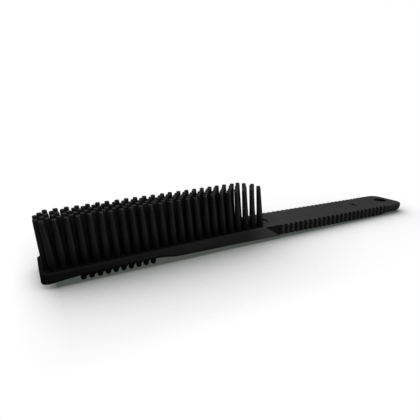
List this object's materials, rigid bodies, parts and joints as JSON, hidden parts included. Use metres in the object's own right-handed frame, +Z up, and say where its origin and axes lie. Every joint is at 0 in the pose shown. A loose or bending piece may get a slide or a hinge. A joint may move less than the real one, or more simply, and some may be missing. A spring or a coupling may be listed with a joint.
{
  "type": "bee brush",
  "caption": "Long-handled moulded rubber brush: tall flexible bristles on one face, short nubs on the other, ribbed grip and hanging hole.",
  "frame": {"origin": "middle of the bounding box in X and Y, on the level of the lowest point, the underside of the handle's end", "axes": "+X along the brush from the toe to the hanging hole, +Z up through the bristles, Y across the rows"},
  "size_m": [0.2974, 0.034, 0.0401],
  "materials": {
    "black_rubber": "fine matte moulded rubber",
    "bristle_rubber": "satin moulded rubber",
    "steel_strip": "bare rolled strip"
  },
  "bodies": {
    "handle_and_head": {"stiffener_core": "steel_strip", "head_pad": "black_rubber", "neck": "black_rubber", "grip_body": "black_rubber", "handle_end": "black_rubber", "ribs_right": "black_rubber", "ribs_left": "black_rubber", "nub_row_1": "black_rubber", "nub_row_2": "black_rubber", "nub_row_3": "black_rubber", "nub_row_4": "black_rubber", "nub_row_5": "black_rubber", "nub_row_6": "black_rubber", "nub_row_7": "black_rubber"},
    "row_1": {"bristle_row_1": "bristle_rubber"},
    "row_2": {"bristle_row_2": "bristle_rubber"},
    "row_3": {"bristle_row_3": "bristle_rubber"},
    "row_4": {"bristle_row_4": "bristle_rubber"},
    "row_5": {"bristle_row_5": "bristle_rubber"},
    "row_6": {"bristle_row_6": "bristle_rubber"}
  },
  "joints": [
    {"name": "row_1_lean", "type": "hinge", "parent": "handle_and_head", "child": "row_1", "pos_m": [-0.07081, -0.011, 0.01173], "axis": [1, 0, 0], "range_deg": [-20, 20], "stiffness_Nm_per_rad": 0.6},
    {"name": "row_2_lean", "type": "hinge", "parent": "handle_and_head", "child": "row_2", "pos_m": [-0.07081, -0.0066, 0.01173], "axis": [1, 0, 0], "range_deg": [-20, 20], "stiffness_Nm_per_rad": 0.6},
    {"name": "row_3_lean", "type": "hinge", "parent": "handle_and_head", "child": "row_3", "pos_m": [-0.07081, -0.0022, 0.01173], "axis": [1, 0, 0], "range_deg": [-20, 20], "stiffness_Nm_per_rad": 0.6},
    {"name": "row_4_lean", "type": "hinge", "parent": "handle_and_head", "child": "row_4", "pos_m": [-0.07081, 0.0022, 0.01173], "axis": [1, 0, 0], "range_deg": [-20, 20], "stiffness_Nm_per_rad": 0.6},
    {"name": "row_5_lean", "type": "hinge", "parent": "handle_and_head", "child": "row_5", "pos_m": [-0.07081, 0.0066, 0.01173], "axis": [1, 0, 0], "range_deg": [-20, 20], "stiffness_Nm_per_rad": 0.6},
    {"name": "row_6_lean", "type": "hinge", "parent": "handle_and_head", "child": "row_6", "pos_m": [-0.07081, 0.011, 0.01173], "axis": [1, 0, 0], "range_deg": [-20, 20], "stiffness_Nm_per_rad": 0.6}
  ],
  "couplings": [
    {"joint": "row_2_lean", "follows": "row_1_lean", "ratio": 1},
    {"joint": "row_3_lean", "follows": "row_1_lean", "ratio": 1},
    {"joint": "row_4_lean", "follows": "row_1_lean", "ratio": 1},
    {"joint": "row_5_lean", "follows": "row_1_lean", "ratio": 1},
    {"joint": "row_6_lean", "follows": "row_1_lean", "ratio": 1}
  ]
}
